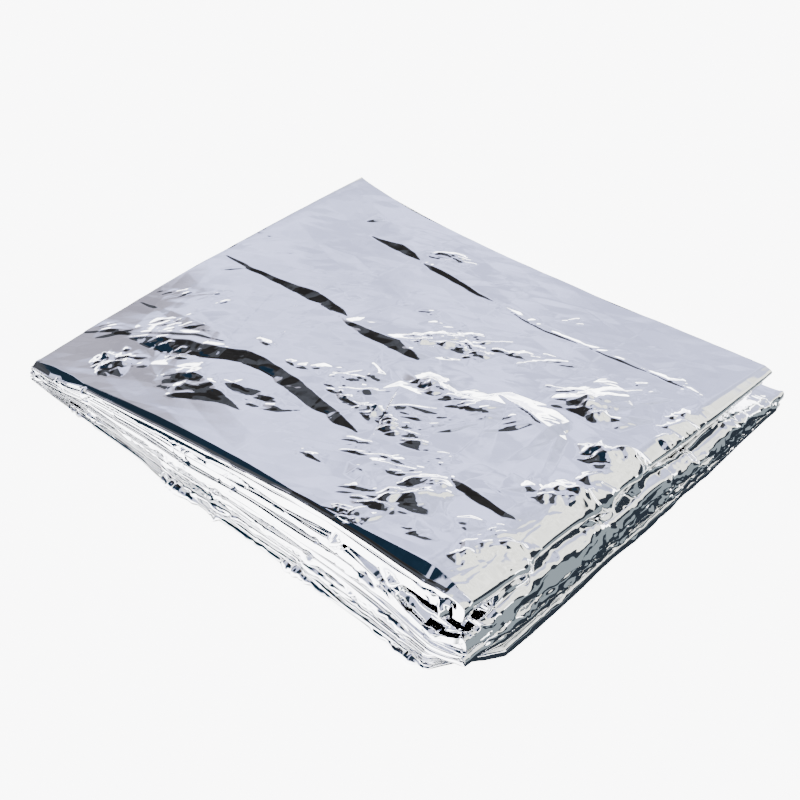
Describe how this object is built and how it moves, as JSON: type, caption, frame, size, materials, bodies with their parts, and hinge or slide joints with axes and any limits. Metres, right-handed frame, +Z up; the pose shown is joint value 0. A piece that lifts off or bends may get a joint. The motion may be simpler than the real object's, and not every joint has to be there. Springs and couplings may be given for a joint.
{
  "type": "emergency foil blanket",
  "caption": "Thin metallised film sheet folded back and forth into a loose rectangular pile of leaves that lies flat, thin at one corner and open at the opposite one.",
  "frame": {"origin": "Middle of the bounding box in X and Y, on the surface that the pile lies on.", "axes": "+X runs along the long edge from the thin left corner to the thick near corner, +Y along the short edge from the side with the leaf edges to the back, +Z up."},
  "size_m": [0.4438, 0.3662, 0.0607],
  "materials": {
    "metallised_film": "mirror-bright thin film, crumpled and creased"
  },
  "bodies": {
    "root": {"foil_sheet": "metallised_film"}
  },
  "joints": []
}
